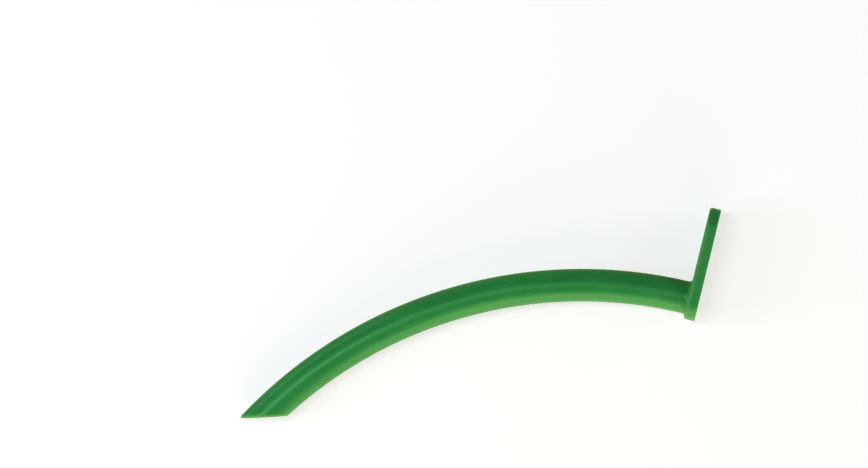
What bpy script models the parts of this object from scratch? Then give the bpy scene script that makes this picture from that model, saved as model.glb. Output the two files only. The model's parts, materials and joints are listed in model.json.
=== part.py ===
"""Nasopharyngeal airway: a soft curved tube with a bevelled tip and a tongue-shaped flange, moulded in one piece.

The part is one closed skin, lofted through rings that all have the same number of points. The rings run along
the outside of the tube to the bevel, over the rounded lip of the cut, back through the lumen to the mouth, and
round the edge of the flange to the root of the tube, where the skin closes.

In the mould's own frame the tube leaves the flange along -X and bends towards -Y, the flange's tongue points to
+Y, and the whole part is symmetric about z = 0. The finished part lies on its side, as it comes to rest on a
table, with the middle of its footprint at the origin.
"""

import math

import bmesh
import bpy
from mathutils import Vector
from mathutils.geometry import intersect_point_tri

MM = 0.001

# Tube
OUTER_DIAMETER = 9.333 * MM    # size 28 French, which is three times the diameter in millimetres
WALL = 1.17 * MM
BEND_RADIUS = 129.0 * MM       # of the centreline
TUBE_LENGTH = 132.1 * MM       # along the centreline, from the flange's face to the middle of the bevel

# Bevelled tip, its long side on the outside of the bend
BEVEL_ANGLE = math.radians(42.0)  # between the cut and the centreline
LIP_RADIUS = 0.35 * MM         # rounds both edges of the cut wall

# Flange
FLANGE_RIM = 1.45 * MM         # how far it stands out past the tube at its round end and its sides
TONGUE_REACH = 26.7 * MM       # from the lumen's axis to the far end of the tongue
FLANGE_THICKNESS = 3.2 * MM
INNER_EDGE_RADIUS = 0.65 * MM  # rounds the edge on the tube's side, which comes to the nostril
OUTER_EDGE_RADIUS = 0.35 * MM
ROOT_REACH = 1.3 * MM          # how far along the tube its blend into the flange runs
ROOT_RISE = 0.65 * MM          # how far the blend runs out over the flange
MOUTH_RADIUS = 0.8 * MM        # rounds the lumen's mouth

# Facets
RING_POINTS = 48               # a multiple of four
TONGUE_END_STEPS = 9           # of each quarter ring's steps, those that round the tongue's far end
TUBE_STEPS = 20
ROUNDING_STEPS = 4             # of each edge, lip and blend

# Worked out from the sizes above
TUBE_RADIUS = OUTER_DIAMETER / 2
LUMEN_RADIUS = TUBE_RADIUS - WALL
FLANGE_HALF_WIDTH = TUBE_RADIUS + FLANGE_RIM
TONGUE_CENTRE = TONGUE_REACH - FLANGE_HALF_WIDTH
LIP = min(LIP_RADIUS, 0.45 * WALL)
RISE = min(ROOT_RISE, 0.9 * (FLANGE_RIM - INNER_EDGE_RADIUS))

GREEN = (0.036, 0.235, 0.058, 1.0)
ROUGHNESS = 0.32


def clear_scene():
    """Remove every object of the open scene."""
    for item in list(bpy.data.objects):
        bpy.data.objects.remove(item, do_unlink=True)


def green_vinyl():
    """Return the soft green plastic of the whole part."""
    material = bpy.data.materials.new("green_vinyl")
    material.use_nodes = True
    shader = material.node_tree.nodes["Principled BSDF"]
    shader.inputs["Base Color"].default_value = GREEN
    shader.inputs["Roughness"].default_value = ROUGHNESS
    shader.inputs["Metallic"].default_value = 0.0
    material.diffuse_color = GREEN
    return material


def turn_of(index):
    """Return the angle round the tube of a ring's point, 0 on the outside of the bend."""
    return 2 * math.pi * index / RING_POINTS


def tube_point(distance, radius, turn):
    """Return a point of a wall at a distance along the centreline from the flange's face towards the tip.

    A negative distance lies inside the flange, where the lumen runs straight.
    """
    sweep = max(distance, 0.0) / BEND_RADIUS
    reach = BEND_RADIUS + radius * math.cos(turn)
    x = -min(distance, 0.0) - reach * math.sin(sweep)
    y = reach * math.cos(sweep) - BEND_RADIUS
    return Vector((x, y, radius * math.sin(turn)))


def bevel_distance(radius, turn):
    """Return how far along the centreline a line of the wall meets the plane of the bevel."""
    reach = BEND_RADIUS + radius * math.cos(turn)
    lead = math.acos(BEND_RADIUS * math.cos(BEVEL_ANGLE) / reach) - BEVEL_ANGLE
    return TUBE_LENGTH + BEND_RADIUS * lead


def section_ring(distance, radius):
    """Return a round ring square to the centreline."""
    return [tube_point(distance, radius, turn_of(index)) for index in range(RING_POINTS)]


def wall_ring(start, share, radius):
    """Return a ring at a share of the way from a starting distance to the bevel, leaning more as it nears it."""
    points = []
    for index in range(RING_POINTS):
        turn = turn_of(index)
        distance = start + share * (bevel_distance(radius, turn) - start)
        points.append(tube_point(distance, radius, turn))
    return points


def outline_point(index, inset):
    """Return y and z of a point on the flange's tongue-shaped outline, drawn in by an inset."""
    half_width = FLANGE_HALF_WIDTH - inset
    quarter = RING_POINTS // 4
    step = min(index, RING_POINTS - index)
    if step < TONGUE_END_STEPS:
        angle = math.pi / 2 * step / TONGUE_END_STEPS
        y = TONGUE_CENTRE + half_width * math.cos(angle)
        z = half_width * math.sin(angle)
    elif step < quarter:
        y = TONGUE_CENTRE * (quarter - step) / (quarter - TONGUE_END_STEPS)
        z = half_width
    else:
        y = half_width * math.cos(turn_of(step))
        z = half_width * math.sin(turn_of(step))
    return y, z if index == step else -z


def flange_ring(x, inset):
    """Return the flange's outline at a height in its thickness."""
    return [Vector((x, *outline_point(index, inset))) for index in range(RING_POINTS)]


def quarter_turn():
    """Yield sine and cosine along a quarter of a circle, both ends included."""
    for step in range(ROUNDING_STEPS + 1):
        angle = math.pi / 2 * step / ROUNDING_STEPS
        yield math.sin(angle), math.cos(angle)


def rounded_corner(before, corner, after, radius):
    """Return the points of an arc that rounds a corner, from its side towards before to its side towards after."""
    back = (before - corner).normalized()
    ahead = (after - corner).normalized()
    half_angle = back.angle(ahead) / 2
    centre = corner + (back + ahead).normalized() * radius / math.sin(half_angle)
    first = corner + back * radius / math.tan(half_angle) - centre
    last = corner + ahead * radius / math.tan(half_angle) - centre
    arc = first.angle(last)
    points = []
    for step in range(ROUNDING_STEPS + 1):
        angle = arc * step / ROUNDING_STEPS
        points.append(centre + (first * math.sin(arc - angle) + last * math.sin(angle)) / math.sin(arc))
    return points


def lip_section(turn):
    """Return the rounded section of the cut wall at one turn, from the outside of the tube to the lumen."""
    outer_cut = bevel_distance(TUBE_RADIUS, turn)
    inner_cut = bevel_distance(LUMEN_RADIUS, turn)
    outer = tube_point(outer_cut, TUBE_RADIUS, turn)
    inner = tube_point(inner_cut, LUMEN_RADIUS, turn)
    up_outer_wall = tube_point(outer_cut - LIP, TUBE_RADIUS, turn)
    up_lumen_wall = tube_point(inner_cut - LIP, LUMEN_RADIUS, turn)
    outer_edge = rounded_corner(up_outer_wall, outer, inner, LIP)
    inner_edge = rounded_corner(outer, inner, up_lumen_wall, LIP)
    return outer_edge + inner_edge


def skin_rings():
    """Return every ring of the skin in order, from the foot of the root's blend round to the flange's face."""
    rings = []
    for sine, cosine in list(quarter_turn())[:-1]:
        rings.append(section_ring(ROOT_REACH * (1 - cosine), TUBE_RADIUS + RISE * (1 - sine)))
    for step in range(TUBE_STEPS):
        rings.append(wall_ring(ROOT_REACH, step / TUBE_STEPS, TUBE_RADIUS))
    lip = [lip_section(turn_of(index)) for index in range(RING_POINTS)]
    rings.extend(list(points) for points in zip(*lip))
    for step in reversed(range(TUBE_STEPS)):
        rings.append(wall_ring(0.0, step / TUBE_STEPS, LUMEN_RADIUS))
    for sine, cosine in quarter_turn():
        depth = FLANGE_THICKNESS - MOUTH_RADIUS * (1 - sine)
        rings.append(section_ring(-depth, LUMEN_RADIUS + MOUTH_RADIUS * (1 - cosine)))
    for sine, cosine in quarter_turn():
        x = FLANGE_THICKNESS - OUTER_EDGE_RADIUS * (1 - cosine)
        rings.append(flange_ring(x, OUTER_EDGE_RADIUS * (1 - sine)))
    for sine, cosine in quarter_turn():
        rings.append(flange_ring(INNER_EDGE_RADIUS * (1 - sine), INNER_EDGE_RADIUS * (1 - cosine)))
    return rings


def loft(rings):
    """Join each ring to the next, and the last to the first, with a band of four-sided faces."""
    skin = bmesh.new()
    loops = [[skin.verts.new(point) for point in ring] for ring in rings]
    for loop, following in zip(loops, loops[1:] + loops[:1]):
        for index in range(RING_POINTS):
            neighbour = (index + 1) % RING_POINTS
            skin.faces.new((loop[index], loop[neighbour], following[neighbour], following[index]))
    bmesh.ops.recalc_face_normals(skin, faces=skin.faces)
    return skin


def centre_of_mass(skin):
    """Return the centre of the solid that the skin encloses."""
    volume = 0.0
    moment = Vector((0.0, 0.0, 0.0))
    for loops in skin.calc_loop_triangles():
        a, b, c = (loop.vert.co for loop in loops)
        tetrahedron = a.dot(b.cross(c)) / 6
        volume += tetrahedron
        moment += tetrahedron * (a + b + c) / 4
    return moment / volume


def resting_turn(skin):
    """Return the rotation that lays the part on its side as it comes to rest.

    A body rests on a face of its convex hull that has the foot of its centre of mass within it. Of those faces,
    the part lies on the one that its side already comes nearest to.
    """
    centre = centre_of_mass(skin)
    hull = bmesh.new()
    for vert in skin.verts:
        hull.verts.new(vert.co)
    bmesh.ops.convex_hull(hull, input=hull.verts)
    down = Vector((0.0, 0.0, -1.0))
    best = Vector((0.0, 0.0, 1.0))
    for face in hull.faces:
        corners = [vert.co for vert in face.verts]
        normal = face.normal.copy()
        height = (corners[0] - centre).dot(normal)
        if height < 0:
            normal.negate()
        foot = centre + normal * abs(height)
        if intersect_point_tri(foot, *corners) and normal.dot(down) > best.dot(down):
            best = normal
    hull.free()
    return best.rotation_difference(down)


def lay_down(airway, turn):
    """Turn the part to its rest and put the middle of its footprint at the origin."""
    points = [turn @ vert.co for vert in airway.data.vertices]
    lows = [min(point[axis] for point in points) for axis in range(3)]
    highs = [max(point[axis] for point in points) for axis in range(3)]
    airway.rotation_mode = "QUATERNION"
    airway.rotation_quaternion = turn
    airway.location = (-(lows[0] + highs[0]) / 2, -(lows[1] + highs[1]) / 2, -lows[2])


def airway_object(skin):
    """Return the airway as an object of the scene, smooth over its rounds and crisp at its flat faces."""
    mesh = bpy.data.meshes.new("airway")
    skin.to_mesh(mesh)
    mesh.materials.append(green_vinyl())
    mesh.shade_smooth()
    mesh.set_sharp_from_angle(angle=math.radians(40.0))
    airway = bpy.data.objects.new("airway", mesh)
    bpy.context.scene.collection.objects.link(airway)
    return airway


def main():
    """Build the airway and lay it at rest."""
    clear_scene()
    skin = loft(skin_rings())
    airway = airway_object(skin)
    lay_down(airway, resting_turn(skin))
    skin.free()
    bpy.context.view_layer.update()


main()
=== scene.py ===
"""Looks of the nasopharyngeal airway: its fine skin, its soft green vinyl, and the studio it lies in.

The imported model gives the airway's place. The two flat faces of its flange carry marks, and from them the
script works out how the part lies. The fine skin is lofted there from the part's own sizes, and stands for
the model's faceted solid. All lengths are in metres.
"""

import json
import logging
import math
from dataclasses import dataclass, field
from enum import Enum
from typing import Any, Iterator

import bmesh
import bpy
from mathutils import Matrix, Vector


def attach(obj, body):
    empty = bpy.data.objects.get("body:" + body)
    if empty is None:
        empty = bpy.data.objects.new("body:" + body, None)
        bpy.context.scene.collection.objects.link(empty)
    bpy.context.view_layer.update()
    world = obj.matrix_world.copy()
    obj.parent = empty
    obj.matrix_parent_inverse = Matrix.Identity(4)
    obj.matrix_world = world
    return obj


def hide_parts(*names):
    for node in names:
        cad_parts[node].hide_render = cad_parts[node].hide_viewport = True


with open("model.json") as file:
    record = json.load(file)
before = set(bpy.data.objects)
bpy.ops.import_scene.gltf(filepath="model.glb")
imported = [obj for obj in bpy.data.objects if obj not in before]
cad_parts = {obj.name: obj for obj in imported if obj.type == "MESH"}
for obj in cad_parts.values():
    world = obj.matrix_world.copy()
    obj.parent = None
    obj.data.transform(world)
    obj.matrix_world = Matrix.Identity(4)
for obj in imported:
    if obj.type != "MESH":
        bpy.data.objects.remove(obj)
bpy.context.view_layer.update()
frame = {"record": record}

MM = 0.001
IMAGE_WIDTH = 868
IMAGE_HEIGHT = 468

log = logging.getLogger("airway_scene")

Ring = list[Vector]
Colour = tuple[float, float, float]

WHITE: Colour = (1.0, 1.0, 1.0)
BLACK: Colour = (0.0, 0.0, 0.0)
UPWARDS = Vector((0.0, 0.0, 1.0))
NOISE_MIDDLE = 0.5


class Zone(Enum):
    """The zones of the skin, each with its share of a paler green that is painted light: light showing
    through the thin lip, and a painted highlight along the flange's rounded edges.
    """

    WALL = 0.0
    EDGE = 0.2
    LIP = 0.55


class Tint(Enum):
    """The two colours of the studio's lamps."""

    WARM = (1.0, 0.76, 0.53)
    COOL = (0.88, 1.0, 0.98)


class Signal:
    """A node's output socket, which Python's operators carry on through Math nodes."""

    def __init__(self, graph: "Graph", socket: bpy.types.NodeSocket) -> None:
        """Keep the socket and the graph that its maths is added to."""
        self.graph = graph
        self.socket = socket

    def _maths(self, operation: str, *values: Any) -> "Signal":
        """Return the result of a Math node on the given values."""
        return self.graph.node("ShaderNodeMath", {"operation": operation}, dict(enumerate(values)))

    def __add__(self, other: Any) -> "Signal":
        """Return the sum."""
        return self._maths("ADD", self, other)

    def __radd__(self, other: Any) -> "Signal":
        """Return the sum, with the number first."""
        return self._maths("ADD", other, self)

    def __sub__(self, other: Any) -> "Signal":
        """Return the difference."""
        return self._maths("SUBTRACT", self, other)

    def __rsub__(self, other: Any) -> "Signal":
        """Return the difference, with the number first."""
        return self._maths("SUBTRACT", other, self)

    def __mul__(self, other: Any) -> "Signal":
        """Return the product."""
        return self._maths("MULTIPLY", self, other)

    def __rmul__(self, other: Any) -> "Signal":
        """Return the product, with the number first."""
        return self._maths("MULTIPLY", other, self)

    def clamped(self) -> "Signal":
        """Return the value held between 0 and 1."""
        return self.graph.node("ShaderNodeClamp", {}, {"Value": self})

    def remapped(self, low: float, high: float, to_low: float, to_high: float) -> "Signal":
        """Return the value's range low to high carried to another range, smoothly and with no overshoot.

        Args:
            low: Value that gives to_low.
            high: Value that gives to_high.
            to_low: Result at low and below.
            to_high: Result at high and above.

        Returns:
            The remapped value.
        """
        settings = {"interpolation_type": "SMOOTHSTEP"}
        values = {"Value": self, "From Min": low, "From Max": high, "To Min": to_low, "To Max": to_high}
        return self.graph.node("ShaderNodeMapRange", settings, values)


class Graph:
    """The node tree of a material or a world, built up node by node and closed with its output."""

    def __init__(self, owner: bpy.types.Material | bpy.types.World) -> None:
        """Empty the owner's tree.

        Args:
            owner: The material or world.
        """
        owner.use_nodes = True
        self.tree = owner.node_tree
        self.tree.nodes.clear()

    def node(
        self,
        kind: str,
        settings: dict[str, Any] | None = None,
        values: dict[Any, Any] | None = None,
        output: int | str | None = 0,
    ) -> Signal | None:
        """Add a node of any kind.

        Args:
            kind: The node's type name.
            settings: The node's own settings, set before its sockets.
            values: Numbers, colours or signals for its input sockets, by name or place.
            output: Which output socket to hand back, or None for a node that has none.

        Returns:
            The chosen output, if any.
        """
        made = self.tree.nodes.new(kind)
        for name, value in (settings or {}).items():
            setattr(made, name, value)
        for name, value in (values or {}).items():
            if isinstance(value, Signal):
                self.tree.links.new(value.socket, made.inputs[name])
            else:
                made.inputs[name].default_value = value
        return None if output is None else Signal(self, made.outputs[output])

    def blend(self, share: Any, first: Any, second: Any) -> Signal:
        """Return a colour between two.

        A Mix node's sockets for colours bear the same names as those for numbers, so they go by place.

        Args:
            share: How much of the second colour, from 0 to 1.
            first: The colour at 0.
            second: The colour at 1.

        Returns:
            The blended colour.
        """
        factor, colour_a, colour_b, result = 0, 6, 7, 2
        values = {factor: share, colour_a: first, colour_b: second}
        return self.node("ShaderNodeMix", {"data_type": "RGBA"}, values, result)

    def attribute(self, name: str, output: str) -> Signal:
        """Return what the mesh's points carry under a name, as the output Fac or Vector."""
        return self.node("ShaderNodeAttribute", {"attribute_name": name}, {}, output)

    def bump(self, height: Signal, distance: float, strength: float) -> Signal:
        """Return a normal that follows a height, given in parts of a distance in metres."""
        values = {"Height": height, "Distance": distance, "Strength": strength}
        return self.node("ShaderNodeBump", {}, values)

    def finish(self, shader: Signal, output: str = "ShaderNodeOutputMaterial") -> None:
        """Join the shader to an output node of the given kind."""
        self.node(output, {}, {"Surface": shader}, None)


def opaque(colour: Colour) -> tuple[float, float, float, float]:
    """Return the colour with full alpha."""
    return (*colour, 1.0)


@dataclass(frozen=True)
class Pattern:
    """One kind of unevenness in a finish, drawn as noise from 0 to 1.

    Size is that of a cell. Below the dark value of the noise the pattern adds nothing to the shade, and
    above the pale one its whole share. Shade, wear and relief are its shares of the swing in colour, of that
    in gloss, and of the height.
    """

    size: float
    detail: float
    roughness: float
    dark: float = 0.35
    pale: float = 0.65
    shade: float = 0.0
    wear: float = 0.0
    relief: float = 0.0

    def noise(self, graph: Graph, place: Signal) -> Signal:
        """Return the pattern's noise at a place."""
        cells = {"Scale": 1 / self.size, "Detail": self.detail, "Roughness": self.roughness}
        return graph.node("ShaderNodeTexNoise", {}, {"Vector": place, **cells}, "Fac")

    def shaded(self, noise: Signal) -> Signal:
        """Return the part that the noise has in the shade."""
        return noise.remapped(self.dark, self.pale, 0.0, self.shade)

    def worn(self, noise: Signal) -> Signal:
        """Return the part that the noise has in the wear, above 0 where it is duller."""
        return (noise - NOISE_MIDDLE) * self.wear


@dataclass(frozen=True)
class VinylFinish:
    """Soft, slightly translucent vinyl, moulded with a satin gloss and faintly streaked along the tube.

    The streaks' noise has cells of the streaks' own length and width, so its size is 1. The mottling turns
    from glossy to dull between two values of its noise.
    """

    body: Colour = (0.026, 0.246, 0.058)
    body_deep: Colour = (0.015, 0.186, 0.047)
    # Paler green painted on the lip and the rounded edges: painted light, not the vinyl's own colour.
    thin_and_lit: Colour = (0.085, 0.360, 0.070)
    roughness: float = 0.40
    roughness_spread: float = 0.12
    ior: float = 1.42
    reflection: Colour = (0.35, 1.0, 0.35)
    sheen: float = 0.30
    sheen_roughness: float = 0.45
    sheen_tint: Colour = (0.6, 1.0, 0.25)
    translucency: float = 0.35
    scatter: Colour = (0.35, 1.0, 0.3)
    scatter_depth: float = 1.6 * MM
    mottle: Pattern = Pattern(size=14.0 * MM, detail=3.0, roughness=0.55, dark=0.3, pale=0.7, shade=0.5)
    mottle_glossy: float = 0.35
    mottle_dull: float = 0.75
    grain: Pattern = Pattern(size=0.35 * MM, detail=4.0, roughness=0.6, shade=0.15, wear=0.6, relief=0.25)
    wave: Pattern = Pattern(size=6.0 * MM, detail=1.5, roughness=0.4, relief=0.6)
    streak: Pattern = Pattern(size=1.0, detail=2.0, roughness=0.5, shade=0.35, wear=0.6, relief=0.15)
    streak_length: float = 25.0 * MM
    streak_width: float = 0.7 * MM
    relief_depth: float = 0.05 * MM
    relief_strength: float = 0.6

    def material(self) -> bpy.types.Material:
        """Return the vinyl as a node material.

        Returns:
            The material, for a mesh that carries its share of painted edge light and its flow.
        """
        material = bpy.data.materials.new("green_vinyl")
        graph = Graph(material)
        place = graph.node("ShaderNodeTexCoord", {}, {}, "Object")
        drawn_out = (1 / self.streak_length, 1 / self.streak_width, 1 / self.streak_width)
        flow = graph.attribute("flow", "Vector")
        stretched = graph.node("ShaderNodeVectorMath", {"operation": "MULTIPLY"}, {0: flow, 1: drawn_out})
        streak = self.streak.noise(graph, stretched)
        mottle = self.mottle.noise(graph, place)
        grain = self.grain.noise(graph, place)
        wave = self.wave.noise(graph, place)
        shade = self.mottle.shaded(mottle) + self.streak.shaded(streak) + self.grain.shaded(grain)
        pigment = graph.blend(shade, opaque(self.body_deep), opaque(self.body))
        # Painted light: the lip and the flange's rounded edges are blended towards the paler green.
        colour = graph.blend(graph.attribute("thinness_and_light", "Fac"), pigment, opaque(self.thin_and_lit))
        mottle_wear = mottle.remapped(self.mottle_glossy, self.mottle_dull, -NOISE_MIDDLE, NOISE_MIDDLE)
        wear = mottle_wear + self.grain.worn(grain) + self.streak.worn(streak)
        roughness = (wear * self.roughness_spread + self.roughness).clamped()
        relief = wave * self.wave.relief + grain * self.grain.relief + streak * self.streak.relief
        shader = graph.node(
            "ShaderNodeBsdfPrincipled",
            {},
            {
                "Base Color": colour,
                "Roughness": roughness,
                "IOR": self.ior,
                "Specular Tint": opaque(self.reflection),
                "Sheen Weight": self.sheen,
                "Sheen Roughness": self.sheen_roughness,
                "Sheen Tint": opaque(self.sheen_tint),
                "Subsurface Weight": self.translucency,
                "Subsurface Radius": self.scatter,
                "Subsurface Scale": self.scatter_depth,
                "Normal": graph.bump(relief, self.relief_depth, self.relief_strength),
            },
        )
        graph.finish(shader)
        return material


@dataclass(frozen=True)
class FloorFinish:
    """A plain white sweep that keeps the airway's shadow.

    The camera sees it white. To rays from the airway it shows painted light and shade instead: pale inside
    the tube's bend, with a field further in that glows by itself and lights the tube's inner side from below
    like a lamp, and green outside it, which the tube's outer side reflects as a darker green. Lengths are
    measured from the tube's centreline.
    """

    # Tones that only the airway's rays see: painted bounce light near the bend's inside, and a green painted
    # reflection outside it.
    near: Colour = (0.70, 0.74, 0.58)
    far: Colour = (0.20, 0.35, 0.08)
    tone_edge: float = 6.0 * MM
    # A patch of floor that glows though it is no lamp: painted light on the tube's inner side.
    bright: Colour = (1.0, 1.0, 0.60)
    brightness: float = 1.3
    bright_from: float = 9.0 * MM
    bright_full: float = 24.0 * MM
    seen: Colour = (0.40, 0.40, 0.40)
    glow: float = 0.64

    def material(self, bend_centre: Vector, bend_radius: float) -> bpy.types.Material:
        """Return the floor's material.

        Args:
            bend_centre: The middle of the tube's bend.
            bend_radius: The bend's radius, on the tube's centreline.

        Returns:
            The material.
        """
        material = bpy.data.materials.new("white_sweep")
        graph = Graph(material)
        place = graph.node("ShaderNodeTexCoord", {}, {}, "Object")
        ends = {0: place, 1: bend_centre}
        reach = graph.node("ShaderNodeVectorMath", {"operation": "DISTANCE"}, ends, "Value")
        side = reach.remapped(bend_radius - self.tone_edge, bend_radius + self.tone_edge, 0.0, 1.0)
        tone = graph.blend(side, opaque(self.near), opaque(self.far))
        away = reach.remapped(bend_radius - self.bright_full, bend_radius - self.bright_from, 0.0, 1.0)
        painted_glow_tint = graph.blend(away, opaque(self.bright), opaque(BLACK))
        table = graph.node("ShaderNodeBsdfDiffuse", {}, {"Color": tone})
        # Painted light: the floor glows here for the rays from the airway.
        painted_glow = graph.node("ShaderNodeEmission", {}, {"Color": painted_glow_tint, "Strength": self.brightness})
        bounced = graph.node("ShaderNodeAddShader", {}, {0: table, 1: painted_glow})
        white = graph.node("ShaderNodeBsdfDiffuse", {}, {"Color": opaque(self.seen)})
        glow = graph.node("ShaderNodeEmission", {}, {"Color": opaque(WHITE), "Strength": self.glow})
        shown = graph.node("ShaderNodeAddShader", {}, {0: white, 1: glow})
        seen = graph.node("ShaderNodeLightPath", {}, {}, "Is Camera Ray")
        graph.finish(graph.node("ShaderNodeMixShader", {}, {0: seen, 1: bounced, 2: shown}))
        return material


@dataclass
class Airway:
    """The airway's one moulded piece, lofted in the mould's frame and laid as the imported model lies.

    In the mould's frame the tube leaves the flange along -X and bends towards -Y, and the tongue points to
    +Y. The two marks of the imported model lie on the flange's flat faces, each at its own distance along the
    tongue from the lumen's axis.
    """

    outer_diameter: float = 9.333 * MM
    wall: float = 1.17 * MM
    bend_radius: float = 129.0 * MM
    tube_length: float = 132.1 * MM
    bevel_angle: float = math.radians(42.0)
    lip_radius: float = 0.35 * MM
    flange_rim: float = 1.45 * MM
    tongue_reach: float = 26.7 * MM
    flange_thickness: float = 3.2 * MM
    inner_edge_radius: float = 0.65 * MM
    outer_edge_radius: float = 0.35 * MM
    root_reach: float = 1.3 * MM
    root_rise: float = 0.65 * MM
    mouth_radius: float = 0.8 * MM
    inner_mark: float = 20.0 * MM
    outer_mark: float = 9.0 * MM
    ring_points: int = 96
    tongue_end_steps: int = 18
    tube_steps: int = 110
    rounding_steps: int = 7
    side_bands: tuple[float, ...] = (0.7, 0.5, 0.35)
    sharp_angle: float = math.radians(35.0)

    def __post_init__(self) -> None:
        """Work out the sizes that follow from the others."""
        self.tube_radius = self.outer_diameter / 2
        self.lumen_radius = self.tube_radius - self.wall
        self.half_width = self.tube_radius + self.flange_rim
        self.tongue_centre = self.tongue_reach - self.half_width

    def turn(self, index: int) -> float:
        """Return the angle round the tube of a ring's point, 0 on the outside of the bend."""
        return 2 * math.pi * index / self.ring_points

    def wall_point(self, distance: float, radius: float, turn: float) -> Vector:
        """Return a point of a round wall.

        Args:
            distance: How far along the centreline from the flange's inner face; below 0 inside the flange.
            radius: The wall's own radius.
            turn: The angle round the tube.

        Returns:
            The point in the mould's frame.
        """
        sweep = max(distance, 0.0) / self.bend_radius
        reach = self.bend_radius + radius * math.cos(turn)
        x = -min(distance, 0.0) - reach * math.sin(sweep)
        y = reach * math.cos(sweep) - self.bend_radius
        return Vector((x, y, radius * math.sin(turn)))

    def cut_distance(self, radius: float, turn: float) -> float:
        """Return where a line of a wall meets the bevel's plane.

        Args:
            radius: The wall's own radius.
            turn: The line's angle round the tube.

        Returns:
            The distance along the centreline from the flange's inner face.
        """
        reach = self.bend_radius + radius * math.cos(turn)
        lead = math.acos(self.bend_radius * math.cos(self.bevel_angle) / reach) - self.bevel_angle
        return self.tube_length + self.bend_radius * lead

    def square_ring(self, distance: float, radius: float) -> Ring:
        """Return a round ring square to the centreline."""
        return [self.wall_point(distance, radius, self.turn(index)) for index in range(self.ring_points)]

    def leaning_ring(self, start: float, share: float, radius: float) -> Ring:
        """Return a ring of a wall that leans more the nearer it lies to the bevel.

        Args:
            start: Distance along the centreline at which the rings are still square to it.
            share: The ring's share of the way from there to the bevel.
            radius: The wall's own radius.

        Returns:
            The ring.
        """
        points = []
        for index in range(self.ring_points):
            turn = self.turn(index)
            distance = start + share * (self.cut_distance(radius, turn) - start)
            points.append(self.wall_point(distance, radius, turn))
        return points

    def outline_point(self, index: int, inset: float) -> tuple[float, float]:
        """Return a point of the flange's outline: a round far end, two straight sides and a round near end.

        Args:
            index: The point's place in its ring, 0 at the tongue's far end.
            inset: How far the outline is drawn in.

        Returns:
            The point's y and z.
        """
        half_width = self.half_width - inset
        quarter = self.ring_points // 4
        step = min(index, self.ring_points - index)
        if step < self.tongue_end_steps:
            angle = math.pi / 2 * step / self.tongue_end_steps
            y = self.tongue_centre + half_width * math.cos(angle)
            z = half_width * math.sin(angle)
        elif step < quarter:
            y = self.tongue_centre * (quarter - step) / (quarter - self.tongue_end_steps)
            z = half_width
        else:
            y = half_width * math.cos(self.turn(step))
            z = half_width * math.sin(self.turn(step))
        return y, z if index == step else -z

    def flange_ring(self, x: float, inset: float) -> Ring:
        """Return the flange's outline at a height in its thickness, drawn in by an inset."""
        return [Vector((x, *self.outline_point(index, inset))) for index in range(self.ring_points)]

    def quarter(self) -> Iterator[tuple[float, float]]:
        """Yield sine and cosine along a quarter of a circle, both ends included."""
        for step in range(self.rounding_steps + 1):
            angle = math.pi / 2 * step / self.rounding_steps
            yield math.sin(angle), math.cos(angle)

    def rounded(self, before: Vector, corner: Vector, after: Vector, radius: float) -> Ring:
        """Return the arc that rounds a corner.

        Args:
            before: A point on the side where the arc starts.
            corner: The sharp corner.
            after: A point on the side where the arc ends.
            radius: The arc's radius.

        Returns:
            The arc's points, in order.
        """
        back = (before - corner).normalized()
        ahead = (after - corner).normalized()
        half_angle = back.angle(ahead) / 2
        centre = corner + (back + ahead).normalized() * radius / math.sin(half_angle)
        first = corner + back * radius / math.tan(half_angle) - centre
        last = corner + ahead * radius / math.tan(half_angle) - centre
        arc = first.angle(last)
        points = []
        for step in range(self.rounding_steps + 1):
            angle = arc * step / self.rounding_steps
            points.append(centre + (first * math.sin(arc - angle) + last * math.sin(angle)) / math.sin(arc))
        return points

    def lip_section(self, turn: float) -> Ring:
        """Return the rounded section of the cut wall.

        Args:
            turn: The section's angle round the tube.

        Returns:
            The section's points, from the outside of the tube to the lumen.
        """
        outer_cut = self.cut_distance(self.tube_radius, turn)
        inner_cut = self.cut_distance(self.lumen_radius, turn)
        outer = self.wall_point(outer_cut, self.tube_radius, turn)
        inner = self.wall_point(inner_cut, self.lumen_radius, turn)
        up_outside = self.wall_point(outer_cut - self.lip_radius, self.tube_radius, turn)
        up_lumen = self.wall_point(inner_cut - self.lip_radius, self.lumen_radius, turn)
        outer_edge = self.rounded(up_outside, outer, inner, self.lip_radius)
        return outer_edge + self.rounded(outer, inner, up_lumen, self.lip_radius)

    def rings(self) -> Iterator[tuple[Zone, Ring]]:
        """Yield every ring of the skin with its zone.

        The rings run from the foot of the root's blend along the tube and over the bevel's lip, back through
        the lumen to the mouth, over the flange's outer face and down its side to its inner face.
        """
        for sine, cosine in list(self.quarter())[:-1]:
            distance = self.root_reach * (1 - cosine)
            yield Zone.WALL, self.square_ring(distance, self.tube_radius + self.root_rise * (1 - sine))
        for step in range(self.tube_steps):
            yield Zone.WALL, self.leaning_ring(self.root_reach, step / self.tube_steps, self.tube_radius)
        lip = [self.lip_section(self.turn(index)) for index in range(self.ring_points)]
        for points in zip(*lip):
            yield Zone.LIP, list(points)
        for step in reversed(range(self.tube_steps)):
            yield Zone.WALL, self.leaning_ring(0.0, step / self.tube_steps, self.lumen_radius)
        for sine, cosine in self.quarter():
            depth = self.flange_thickness - self.mouth_radius * (1 - sine)
            yield Zone.WALL, self.square_ring(-depth, self.lumen_radius + self.mouth_radius * (1 - cosine))
        for sine, cosine in self.quarter():
            x = self.flange_thickness - self.outer_edge_radius * (1 - cosine)
            yield Zone.EDGE, self.flange_ring(x, self.outer_edge_radius * (1 - sine))
        for share in self.side_bands:
            yield Zone.WALL, self.flange_ring(self.flange_thickness * share, 0.0)
        for sine, cosine in self.quarter():
            inset = self.inner_edge_radius * (1 - cosine)
            yield Zone.EDGE, self.flange_ring(self.inner_edge_radius * (1 - sine), inset)

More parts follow.
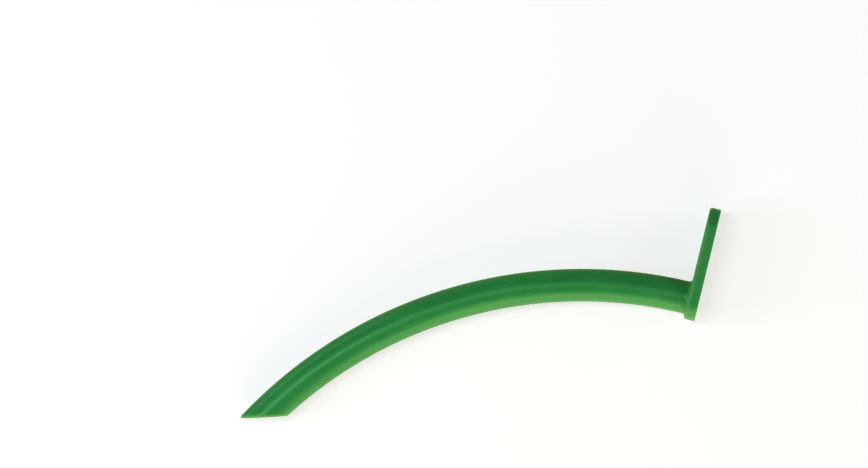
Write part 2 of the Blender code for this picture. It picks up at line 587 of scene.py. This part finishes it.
    def straightened(self, point: Vector) -> Vector:
        """Return where a point would lie if the tube were drawn out straight.

        Args:
            point: The point in the mould's frame.

        Returns:
            The point with its way along the tube as x.
        """
        if point.x >= 0:
            return point.copy()
        along = self.bend_radius * math.atan2(-point.x, point.y + self.bend_radius)
        reach = math.hypot(point.x, point.y + self.bend_radius)
        return Vector((-along, reach - self.bend_radius, point.z))

    def pose(self, record: dict[str, Any]) -> Matrix:
        """Return the way from the mould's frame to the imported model's, read off the flange's marked faces.

        Args:
            record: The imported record, with the mounts nostril_stop and outer_face.

        Returns:
            The rigid transform.
        """
        marks = {mount["name"]: mount for mount in record["mounts"]}
        inner = Vector(marks["nostril_stop"]["pos_m"])
        outer = Vector(marks["outer_face"]["pos_m"])
        x_axis = Vector(marks["outer_face"]["axis"]).normalized()
        between = (outer - inner) / (self.outer_mark - self.inner_mark)
        y_axis = (between - x_axis * between.dot(x_axis)).normalized()
        z_axis = x_axis.cross(y_axis)
        turned = Matrix((x_axis, y_axis, z_axis)).transposed()
        origin = inner - turned @ Vector((0.0, self.inner_mark, 0.0))
        return Matrix.Translation(origin) @ turned.to_4x4()

    def build(self, record: dict[str, Any], finish: VinylFinish) -> bpy.types.Object:
        """Loft the fine skin, lay it in place and dress it.

        Args:
            record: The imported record.
            finish: The vinyl.

        Returns:
            The piece that stands for the model's airway.
        """
        skin = bmesh.new()
        # Per-point share of the painted edge light, set by each ring's zone.
        thinness_and_light = skin.verts.layers.float.new("thinness_and_light")
        flow = skin.verts.layers.float_vector.new("flow")
        loops = []
        for zone, ring in self.rings():
            loop = [skin.verts.new(point) for point in ring]
            for vert in loop:
                vert[thinness_and_light] = zone.value
                vert[flow] = self.straightened(vert.co)
            loops.append(loop)
        for loop, following in zip(loops, loops[1:] + loops[:1]):
            for index in range(self.ring_points):
                beside = (index + 1) % self.ring_points
                skin.faces.new((loop[index], loop[beside], following[beside], following[index]))
        bmesh.ops.recalc_face_normals(skin, faces=skin.faces)
        skin.transform(self.pose(record))
        mesh = bpy.data.meshes.new("airway_skin")
        skin.to_mesh(mesh)
        skin.free()
        mesh.materials.append(finish.material())
        mesh.shade_smooth()
        mesh.set_sharp_from_angle(angle=self.sharp_angle)
        piece = bpy.data.objects.new("airway_skin", mesh)
        bpy.context.scene.collection.objects.link(piece)
        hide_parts("airway")
        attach(piece, "root")
        return piece


@dataclass(frozen=True)
class Lamp:
    """A soft lamp that faces the airway.

    Its direction is given in shares to the picture's right, to its top and straight up, and its power in
    watts.
    """

    name: str
    direction: tuple[float, float, float]
    away: float
    size: tuple[float, float]
    power: float
    tint: Tint


@dataclass
class Studio:
    """The plain studio: a white floor, soft lamps, and a camera that looks straight down with a long lens.

    The scale is in pixels a metre at the airway's level. The axis pixel is where the lumen's axis meets the
    flange's inner face in the picture.
    """

    scale: float = 3.498 / MM
    roll: float = math.radians(13.72)
    axis_pixel: tuple[float, float] = (688.40, 297.95)
    tilt: float = math.radians(1.2)
    distance: float = 3.0
    sensor: float = 36.0 * MM
    clip: tuple[float, float] = (0.1, 20.0)
    floor_half: float = 2.5
    fill: float = 0.04
    lamps: tuple[Lamp, ...] = (
        Lamp("low", (0.06, -0.98, 0.20), 0.7, (0.7, 0.20), 3.6, Tint.WARM),
        Lamp("mid", (0.00, -0.86, 0.50), 0.7, (0.8, 0.24), 1.45, Tint.WARM),
        Lamp("strip", (-0.28, 0.10, 0.94), 0.8, (0.05, 0.4), 2.7, Tint.COOL),
        Lamp("left", (-0.90, -0.10, 0.45), 0.5, (0.25, 0.25), 1.3, Tint.COOL),
        Lamp("back", (-0.70, 0.68, 0.08), 0.6, (0.4, 0.09), 0.5, Tint.COOL),
        Lamp("right", (0.90, 0.20, 0.25), 0.5, (0.25, 0.25), 0.8, Tint.COOL),
    )
    across: Vector = field(init=False)
    up: Vector = field(init=False)
    target: Vector = field(init=False)

    def aim(self, pose: Matrix) -> None:
        """Find the picture's directions, and the point that its middle looks at, on the airway's level.

        Args:
            pose: The way from the mould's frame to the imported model's.
        """
        self.across = Vector((math.cos(self.roll), math.sin(self.roll), 0.0))
        self.up = Vector((-math.sin(self.roll), math.cos(self.roll), 0.0))
        right = self.axis_pixel[0] - IMAGE_WIDTH / 2
        down = self.axis_pixel[1] - IMAGE_HEIGHT / 2
        anchor = pose.translation
        self.target = anchor - self.across * (right / self.scale) + self.up * (down / self.scale)

    def place_camera(self) -> bpy.types.Object:
        """Make the camera, level with the photographed frame.

        Returns:
            The camera.
        """
        data = bpy.data.cameras.new("camera")
        data.sensor_width = self.sensor / MM
        data.lens = data.sensor_width * self.distance / (IMAGE_WIDTH / self.scale)
        data.clip_start, data.clip_end = self.clip
        camera = bpy.data.objects.new("camera", data)
        back = Matrix.Rotation(self.tilt, 3, self.across) @ UPWARDS
        up = back.cross(self.across)
        turned = Matrix((self.across, up, back)).transposed()
        camera.matrix_world = Matrix.Translation(self.target + back * self.distance) @ turned.to_4x4()
        bpy.context.scene.collection.objects.link(camera)
        bpy.context.scene.camera = camera
        return camera

    def hang(self, lamp: Lamp) -> bpy.types.Object:
        """Hang a lamp so that it faces the airway.

        Args:
            lamp: What to hang, and where.

        Returns:
            The lamp's object.
        """
        data = bpy.data.lights.new(lamp.name, "AREA")
        data.shape = "RECTANGLE"
        data.size, data.size_y = lamp.size
        data.energy = lamp.power
        data.color = lamp.tint.value
        hung = bpy.data.objects.new(lamp.name, data)
        right, top, height = lamp.direction
        towards = (self.across * right + self.up * top + UPWARDS * height).normalized()
        hung.location = self.target + towards * lamp.away
        hung.rotation_mode = "QUATERNION"
        hung.rotation_quaternion = (-towards).to_track_quat("-Z", "Y")
        bpy.context.scene.collection.objects.link(hung)
        return hung

    def lay_floor(self, finish: FloorFinish, airway: Airway, pose: Matrix) -> bpy.types.Object:
        """Lay the white floor that the airway rests on.

        Args:
            finish: The floor's finish.
            airway: The airway, for its bend.
            pose: The way from the mould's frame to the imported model's.

        Returns:
            The floor.
        """
        sheet = bmesh.new()
        bmesh.ops.create_grid(sheet, x_segments=2, y_segments=2, size=self.floor_half)
        mesh = bpy.data.meshes.new("floor")
        sheet.to_mesh(mesh)
        sheet.free()
        bend_centre = pose @ Vector((0.0, -airway.bend_radius, 0.0))
        bend_centre.z = 0.0
        mesh.materials.append(finish.material(bend_centre, airway.bend_radius))
        floor = bpy.data.objects.new("floor", mesh)
        bpy.context.scene.collection.objects.link(floor)
        return floor

    def fill_world(self) -> None:
        """Fill the room with a faint even light, and show the camera white past the floor."""
        world = bpy.data.worlds.new("room")
        graph = Graph(world)
        fill = graph.node("ShaderNodeBackground", {}, {"Color": opaque(WHITE), "Strength": self.fill})
        white = graph.node("ShaderNodeBackground", {}, {"Color": opaque(WHITE)})
        seen = graph.node("ShaderNodeLightPath", {}, {}, "Is Camera Ray")
        room = graph.node("ShaderNodeMixShader", {}, {0: seen, 1: fill, 2: white})
        graph.finish(room, "ShaderNodeOutputWorld")
        bpy.context.scene.world = world

    def build(self, airway: Airway, pose: Matrix) -> None:
        """Set up the whole studio round the airway.

        Args:
            airway: The airway.
            pose: The way from the mould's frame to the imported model's.
        """
        self.aim(pose)
        self.place_camera()
        self.lay_floor(FloorFinish(), airway, pose)
        self.fill_world()
        for lamp in self.lamps:
            self.hang(lamp)
        bpy.context.scene.view_settings.view_transform = "Standard"


def main() -> None:
    """Build the airway and its studio."""
    airway = Airway()
    piece = airway.build(frame["record"], VinylFinish())
    log.info("%s: %d faces", piece.name, len(piece.data.polygons))
    Studio().build(airway, airway.pose(frame["record"]))


if __name__ == "__main__":
    main()
